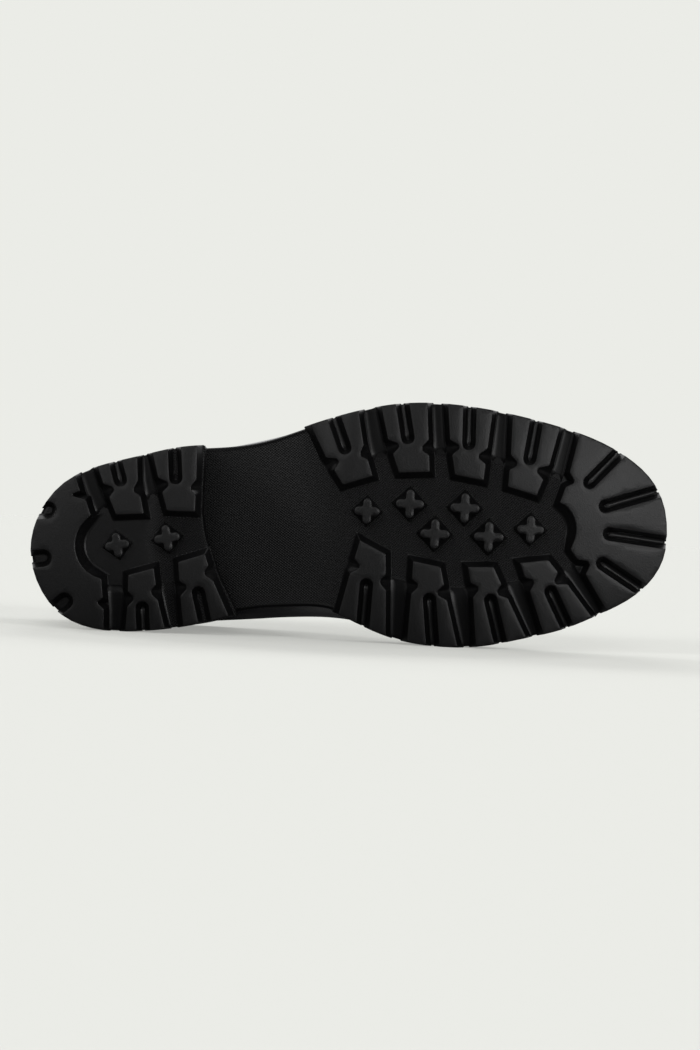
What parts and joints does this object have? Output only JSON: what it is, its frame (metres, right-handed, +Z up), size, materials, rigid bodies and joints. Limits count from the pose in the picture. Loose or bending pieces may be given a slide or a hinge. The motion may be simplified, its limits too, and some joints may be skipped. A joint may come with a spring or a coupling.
{
  "type": "ankle boot",
  "caption": "Black pull-on ankle boot for the right foot, with elastic gores, a welt, a lugged rubber sole and a separate lugged heel, lying on its medial side.",
  "frame": {"origin": "middle of the boot's bounding box in plan, on the floor that it lies on", "axes": "+X from heel to toe along the sole; +Y from the sole's tread towards the collar; +Z up, from the medial side that it lies on to the lateral side"},
  "size_m": [0.3076, 0.184, 0.1167],
  "materials": {
    "rubber": "moulded black rubber, satin lug faces, fine cross-hatched ground",
    "welt": "black welt leather, stitched along its top",
    "insole": "dark brown insole leather",
    "leather": "smooth polished black leather, glossy with a cool sheen",
    "elastic": "ribbed black elastic webbing",
    "webbing": "woven black webbing"
  },
  "bodies": {
    "root": {"outsole": "rubber", "heel": "rubber", "welt": "welt", "insole": "insole", "upper": "leather", "gore_medial": "elastic", "gore_lateral": "elastic", "pull_loop": "webbing"}
  },
  "joints": []
}
